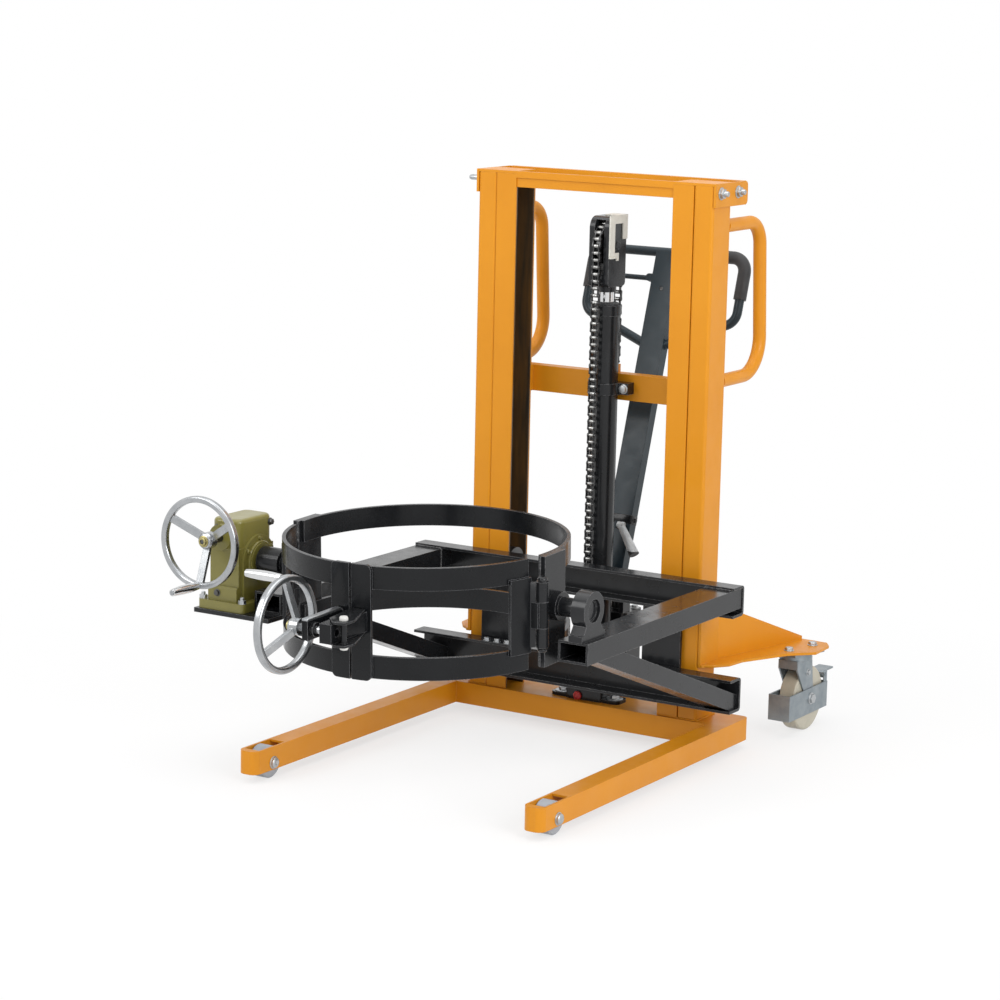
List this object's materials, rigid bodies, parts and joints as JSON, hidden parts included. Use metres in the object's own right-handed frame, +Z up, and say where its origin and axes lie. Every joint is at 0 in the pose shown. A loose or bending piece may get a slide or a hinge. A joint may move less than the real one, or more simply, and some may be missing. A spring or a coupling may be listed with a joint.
{
  "type": "drum stacker",
  "caption": "Hand stacker with straddle legs and castors whose chain-lifted carriage holds a drum in a hinged, screw-clamped cage that a worm gearbox tilts.",
  "frame": {"origin": "on the floor, straight below the trunnion axis of the drum cage, midway between the mast posts", "axes": "+Z up, +X to the machine's right seen from the front, +Y from the cage back to the mast"},
  "size_m": [1.039, 1.6196, 1.271],
  "materials": {
    "orange_paint": "satin enamel",
    "black_paint": "gloss enamel",
    "handle_paint": "satin enamel",
    "gearbox_paint": "enamel on casting",
    "zinc_steel": "zinc plated",
    "chrome": "polished",
    "handwheel_metal": "turned, plated",
    "dark_steel": "oiled",
    "bronze": "machined",
    "grip_rubber": "moulded",
    "roller_nylon": "nylon",
    "wheel_nylon": "nylon"
  },
  "bodies": {
    "chassis": {"base_crossmember": "orange_paint", "straddle_legs": "orange_paint", "outer_posts": "orange_paint", "mast_channels": "orange_paint", "top_bars": "orange_paint", "top_end_plates": "orange_paint", "mid_crossbar": "orange_paint", "outriggers": "orange_paint", "push_handles": "orange_paint", "cylinder_foot": "black_paint", "lift_cylinder": "black_paint", "cylinder_gland": "black_paint", "cylinder_clamp": "black_paint", "pump_block": "black_paint", "castor_plates": "zinc_steel", "frame_bolts": "zinc_steel", "chain_rear": "dark_steel"},
    "left_leg_roller": {"left_leg_roller": "roller_nylon"},
    "right_leg_roller": {"right_leg_roller": "roller_nylon"},
    "rod": {"lift_rod": "chrome", "sheave_block": "black_paint", "sheave_guard": "zinc_steel", "chain_wrap": "dark_steel"},
    "sheave": {"chain_sheave": "dark_steel"},
    "carriage": {"upper_beam": "black_paint", "lower_beam": "black_paint", "roller_brackets": "black_paint", "fork_arms": "black_paint", "arm_braces": "black_paint", "pillow_block": "black_paint", "gearbox_platform": "black_paint", "gearbox_housing": "gearbox_paint", "chain_front": "dark_steel"},
    "worm": {"worm_shaft": "dark_steel", "tilt_handwheel": "handwheel_metal"},
    "tilt_grip": {"tilt_grip": "chrome"},
    "cage": {"rear_bands": "black_paint", "trunnion_plates": "black_paint", "trunnion_shafts": "black_paint", "worm_wheel": "bronze"},
    "left_door": {"left_door": "black_paint"},
    "right_door": {"right_door": "black_paint"},
    "clamp_thrust": {"clamp_collar": "black_paint"},
    "clamp_screw": {"clamp_handwheel": "handwheel_metal"},
    "clamp_grip": {"clamp_grip": "chrome"},
    "tow_handle": {"tow_handle": "handle_paint", "tow_grips": "grip_rubber"},
    "pump_plunger": {"pump_plunger": "chrome"},
    "foot_pedal": {"foot_pedal": "zinc_steel"},
    "release_lever": {"release_lever": "handle_paint"},
    "left_lower_roller": {"left_lower_roller": "zinc_steel"},
    "left_upper_roller": {"left_upper_roller": "zinc_steel"},
    "left_castor": {"left_castor_fork": "zinc_steel"},
    "left_castor_wheel": {"left_castor_wheel": "wheel_nylon"},
    "left_brake": {"left_brake_pedal": "zinc_steel"},
    "right_lower_roller": {"right_lower_roller": "zinc_steel"},
    "right_upper_roller": {"right_upper_roller": "zinc_steel"},
    "right_castor": {"right_castor_fork": "zinc_steel"},
    "right_castor_wheel": {"right_castor_wheel": "wheel_nylon"},
    "right_brake": {"right_brake_pedal": "zinc_steel"}
  },
  "joints": [
    {"name": "carriage_lift", "type": "slide", "parent": "chassis", "child": "carriage", "axis": [0, 0, 1], "range_m": [0, 0.8], "deforming": ["chain_front", "chain_rear"]},
    {"name": "rod_lift", "type": "slide", "parent": "chassis", "child": "rod", "axis": [0, 0, 1], "range_m": [0, 0.4]},
    {"name": "sheave_spin", "type": "hinge", "parent": "rod", "child": "sheave", "pos_m": [0, 0.722, 1.114], "axis": [1, 0, 0], "range_deg": [-460, 0]},
    {"name": "cage_tilt", "type": "hinge", "parent": "carriage", "child": "cage", "pos_m": [0, 0, 0.454], "axis": [-1, 0, 0], "range_deg": [-175, 0]},
    {"name": "worm_spin", "type": "hinge", "parent": "carriage", "child": "worm", "pos_m": [-0.477, 0, 0.51], "axis": [0, 1, 0], "range_deg": [-5251, 0]},
    {"name": "tilt_grip_spin", "type": "hinge", "parent": "worm", "child": "tilt_grip", "pos_m": [-0.477, -0.2, 0.417], "axis": [0, 1, 0], "continuous": true},
    {"name": "right_door_swing", "type": "hinge", "parent": "cage", "child": "right_door", "pos_m": [0.316, -0.05596, 0.45195], "axis": [0, -0.0366, 0.9993], "range_deg": [0, 55]},
    {"name": "left_door_swing", "type": "hinge", "parent": "cage", "child": "left_door", "pos_m": [-0.316, -0.05596, 0.45195], "axis": [0, 0.0366, -0.9993], "range_deg": [0, 55]},
    {"name": "clamp_advance", "type": "slide", "parent": "left_door", "child": "clamp_thrust", "axis": [1, 0, 0], "range_m": [0, 0.0142]},
    {"name": "clamp_spin", "type": "hinge", "parent": "clamp_thrust", "child": "clamp_screw", "pos_m": [0, -0.40862, 0.43601], "axis": [1, 0, 0], "range_deg": [0, 1260]},
    {"name": "clamp_grip_spin", "type": "hinge", "parent": "clamp_screw", "child": "clamp_grip", "pos_m": [-0.12, -0.41202, 0.52895], "axis": [1, 0, 0], "continuous": true},
    {"name": "tow_swing", "type": "hinge", "parent": "chassis", "child": "tow_handle", "pos_m": [0, 0.777, 0.314], "axis": [-1, 0, 0], "range_deg": [0, 55], "stiffness_Nm_per_rad": 24, "springref_deg": -34.38},
    {"name": "plunger_stroke", "type": "slide", "parent": "chassis", "child": "pump_plunger", "axis": [0, 0, -1], "range_m": [0, 0.0446]},
    {"name": "pedal_press", "type": "hinge", "parent": "tow_handle", "child": "foot_pedal", "pos_m": [0.013, 0.79608, 0.46112], "axis": [-1, 0, 0], "range_deg": [0, 25]},
    {"name": "left_leg_roll", "type": "hinge", "parent": "chassis", "child": "left_leg_roller", "pos_m": [-0.356, -0.081, 0.035], "axis": [1, 0, 0], "continuous": true},
    {"name": "right_leg_roll", "type": "hinge", "parent": "chassis", "child": "right_leg_roller", "pos_m": [0.356, -0.081, 0.035], "axis": [1, 0, 0], "continuous": true},
    {"name": "release_squeeze", "type": "hinge", "parent": "tow_handle", "child": "release_lever", "pos_m": [-0.0393, 0.99864, 1.01269], "axis": [0, 0.9532, -0.3024], "range_deg": [0, 15]},
    {"name": "left_lower_roll", "type": "hinge", "parent": "carriage", "child": "left_lower_roller", "pos_m": [-0.221, 0.6925, 0.166], "axis": [1, 0, 0], "range_deg": [-1341.25, 0]},
    {"name": "left_upper_roll", "type": "hinge", "parent": "carriage", "child": "left_upper_roller", "pos_m": [-0.221, 0.6925, 0.364], "axis": [1, 0, 0], "range_deg": [0, 1341.25]},
    {"name": "left_castor_swivel", "type": "hinge", "parent": "chassis", "child": "left_castor", "pos_m": [-0.4, 0.945, 0.18], "axis": [0, 0, 1], "continuous": true},
    {"name": "left_castor_roll", "type": "hinge", "parent": "left_castor", "child": "left_castor_wheel", "pos_m": [-0.4, 0.979, 0.075], "axis": [1, 0, 0], "continuous": true},
    {"name": "left_brake_press", "type": "hinge", "parent": "left_castor", "child": "left_brake", "pos_m": [-0.4, 1.055, 0.116], "axis": [-1, 0, 0], "range_deg": [0, 15]},
    {"name": "right_lower_roll", "type": "hinge", "parent": "carriage", "child": "right_lower_roller", "pos_m": [0.221, 0.6925, 0.166], "axis": [1, 0, 0], "range_deg": [-1341.25, 0]},
    {"name": "right_upper_roll", "type": "hinge", "parent": "carriage", "child": "right_upper_roller", "pos_m": [0.221, 0.6925, 0.364], "axis": [1, 0, 0], "range_deg": [0, 1341.25]},
    {"name": "right_castor_swivel", "type": "hinge", "parent": "chassis", "child": "right_castor", "pos_m": [0.4, 0.945, 0.18], "axis": [0, 0, 1], "continuous": true},
    {"name": "right_castor_roll", "type": "hinge", "parent": "right_castor", "child": "right_castor_wheel", "pos_m": [0.4, 0.979, 0.075], "axis": [1, 0, 0], "continuous": true},
    {"name": "right_brake_press", "type": "hinge", "parent": "right_castor", "child": "right_brake", "pos_m": [0.4, 1.055, 0.116], "axis": [-1, 0, 0], "range_deg": [0, 15]}
  ],
  "couplings": [
    {"joint": "rod_lift", "follows": "carriage_lift", "ratio": 0.5},
    {"joint": "sheave_spin", "follows": "carriage_lift", "rad_per_m": -10},
    {"joint": "worm_spin", "follows": "cage_tilt", "ratio": 30},
    {"joint": "clamp_advance", "follows": "clamp_spin", "m_per_rad": 0.00063662},
    {"joint": "plunger_stroke", "follows": "tow_swing", "m_per_rad": 0.0462},
    {"joint": "left_lower_roll", "follows": "carriage_lift", "rad_per_m": -29.24},
    {"joint": "left_upper_roll", "follows": "carriage_lift", "rad_per_m": 29.24},
    {"joint": "right_lower_roll", "follows": "carriage_lift", "rad_per_m": -29.24},
    {"joint": "right_upper_roll", "follows": "carriage_lift", "rad_per_m": 29.24}
  ]
}
